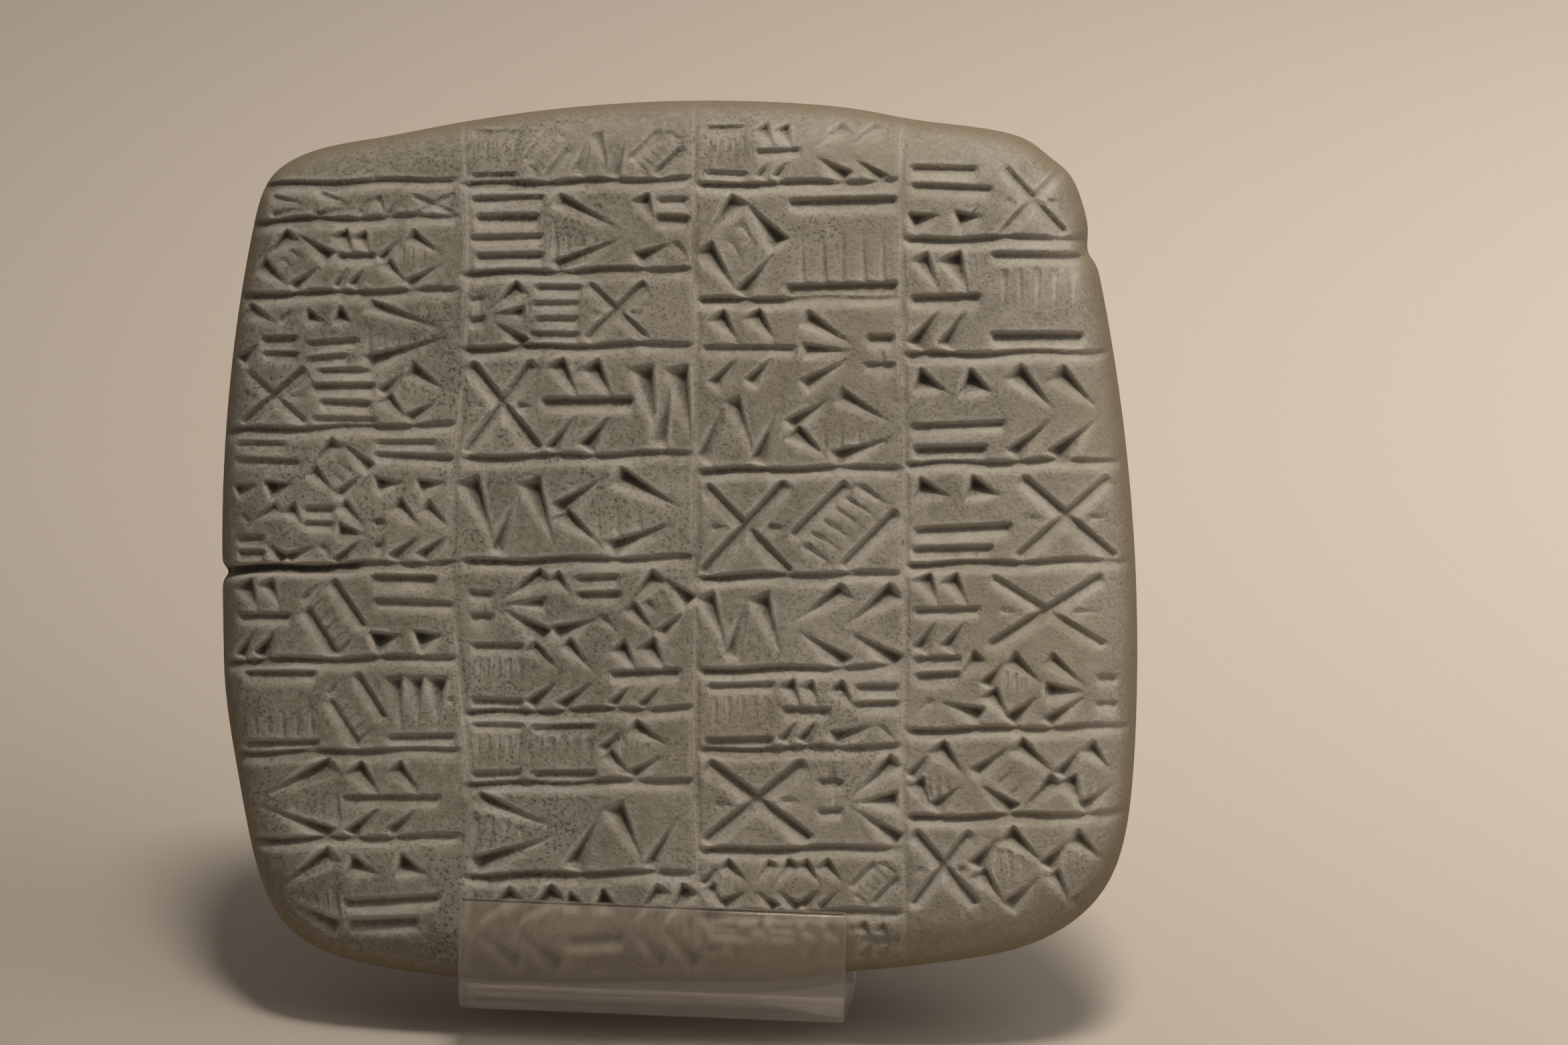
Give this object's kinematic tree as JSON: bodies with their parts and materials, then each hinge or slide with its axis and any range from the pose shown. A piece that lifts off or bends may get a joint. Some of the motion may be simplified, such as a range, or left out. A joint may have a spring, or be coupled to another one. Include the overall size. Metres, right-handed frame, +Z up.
{
  "type": "cuneiform tablet",
  "caption": "Square clay tablet with ruled cases of pressed wedge strokes, leaning back in a cradle bent from one strip of clear plastic.",
  "frame": {"origin": "middle of the flat underside of the stand's foot, on the ground", "axes": "+Z up, -Y out of the written face towards the viewer, +X to the viewer's right"},
  "size_m": [0.0806, 0.0586, 0.0791],
  "materials": {
    "clay": "matt grey-brown clay with pale dust in the strokes",
    "clear_sheet": "clear polished sheet with bright cut edges"
  },
  "bodies": {
    "root": {"tablet": "clay", "clear_stand": "clear_sheet"}
  },
  "joints": []
}
